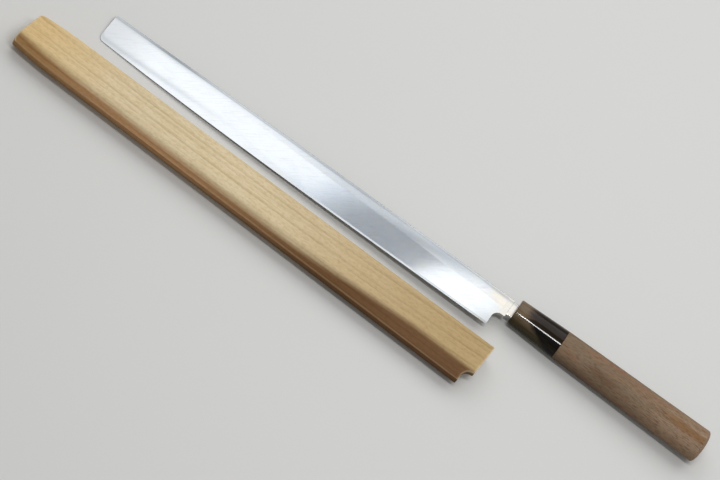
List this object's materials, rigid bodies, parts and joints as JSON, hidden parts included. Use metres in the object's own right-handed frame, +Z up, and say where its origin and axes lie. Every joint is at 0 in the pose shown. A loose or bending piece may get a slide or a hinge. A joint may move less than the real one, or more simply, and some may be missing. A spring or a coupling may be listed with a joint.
{
  "type": "takohiki knife with scabbard",
  "caption": "Long square-tipped single-bevel slicing knife with oval wooden handle and horn ferrule, lying beside its slotted wooden scabbard.",
  "frame": {"origin": "middle of the bounding box of the knife and the scabbard, on the surface they lie on", "axes": "+X from the blade's tip towards the butt of the handle, +Y from the edge towards the spine, +Z up"},
  "size_m": [0.4932, 0.0826, 0.0208],
  "materials": {
    "soft_iron": "misted, ground along the bevel",
    "hard_steel": "ground hollow, bright with fine grinding lines",
    "horn": "polished, marbled dark horn",
    "handle_wood": "sanded, unvarnished, greyed by use",
    "resin": "hard resin",
    "saya_wood": "planed, waxed straight-grained wood"
  },
  "bodies": {
    "knife": {"blade_jigane": "soft_iron", "blade_hagane": "hard_steel", "ferrule": "horn", "handle": "handle_wood", "tang_bedding": "resin"},
    "saya": {"saya_ura_board": "saya_wood", "saya_spacer": "saya_wood", "saya_omote_board": "saya_wood"}
  },
  "joints": [
    {"name": "saya_draw", "type": "slide", "parent": "knife", "child": "saya", "axis": [-1, 0, 0], "range_m": [0, 0.32]}
  ]
}
